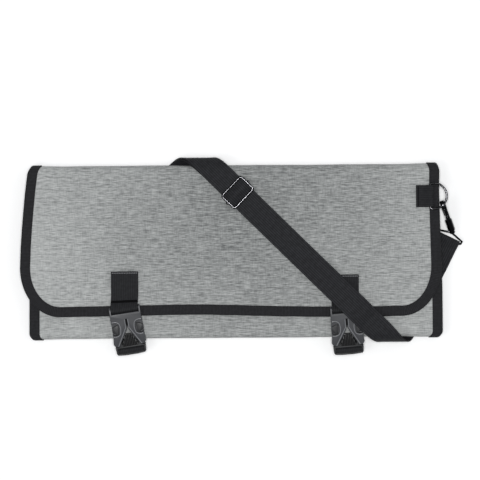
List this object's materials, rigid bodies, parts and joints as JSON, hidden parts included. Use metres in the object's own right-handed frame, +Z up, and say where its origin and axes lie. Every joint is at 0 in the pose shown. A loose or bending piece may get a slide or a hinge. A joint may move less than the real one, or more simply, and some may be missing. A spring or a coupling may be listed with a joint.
{
  "type": "chef knife roll",
  "caption": "Flat canvas knife roll, folded shut, with bound edges, two side release buckles and a diagonal shoulder strap on a snap hook.",
  "frame": {"origin": "on the surface that the roll lies on, below the middle of its outline", "axes": "+X along the roll's length to the side with the snap hook, +Y from the buckles' edge to the far folded edge, +Z up out of the flap's face"},
  "size_m": [0.5252, 0.235, 0.0378],
  "materials": {
    "canvas": "matt heather weave",
    "binding": "matt woven tape",
    "strap_webbing": "ribbed webbing",
    "webbing": "ribbed webbing",
    "buckle_socket": "matt",
    "buckle_plug": "matt",
    "metal": "glossy black"
  },
  "bodies": {
    "bag": {"canvas_shell": "canvas", "edge_binding": "binding", "shoulder_strap": "strap_webbing", "flap_tab_left": "webbing", "flap_tab_right": "webbing", "back_tab_left": "webbing", "back_tab_right": "webbing", "ring_tab_right": "webbing", "link_tab_left": "webbing", "buckle_socket_left": "buckle_socket", "buckle_socket_right": "buckle_socket", "buckle_plug_left": "buckle_plug", "buckle_plug_right": "buckle_plug", "d_ring_right": "metal", "hook_body_right": "metal", "hook_eye_right": "metal", "strap_slider": "metal", "strap_link_left": "metal"},
    "hook_gate": {"hook_gate_right": "metal"}
  },
  "joints": [
    {"name": "hook_gate", "type": "hinge", "parent": "bag", "child": "hook_gate", "pos_m": [0.24201, 0.0456, 0.02538], "axis": [-0.9259, -0.3777, 0], "range_deg": [0, 25], "stiffness_Nm_per_rad": 0.02, "springref_deg": -20.05}
  ]
}
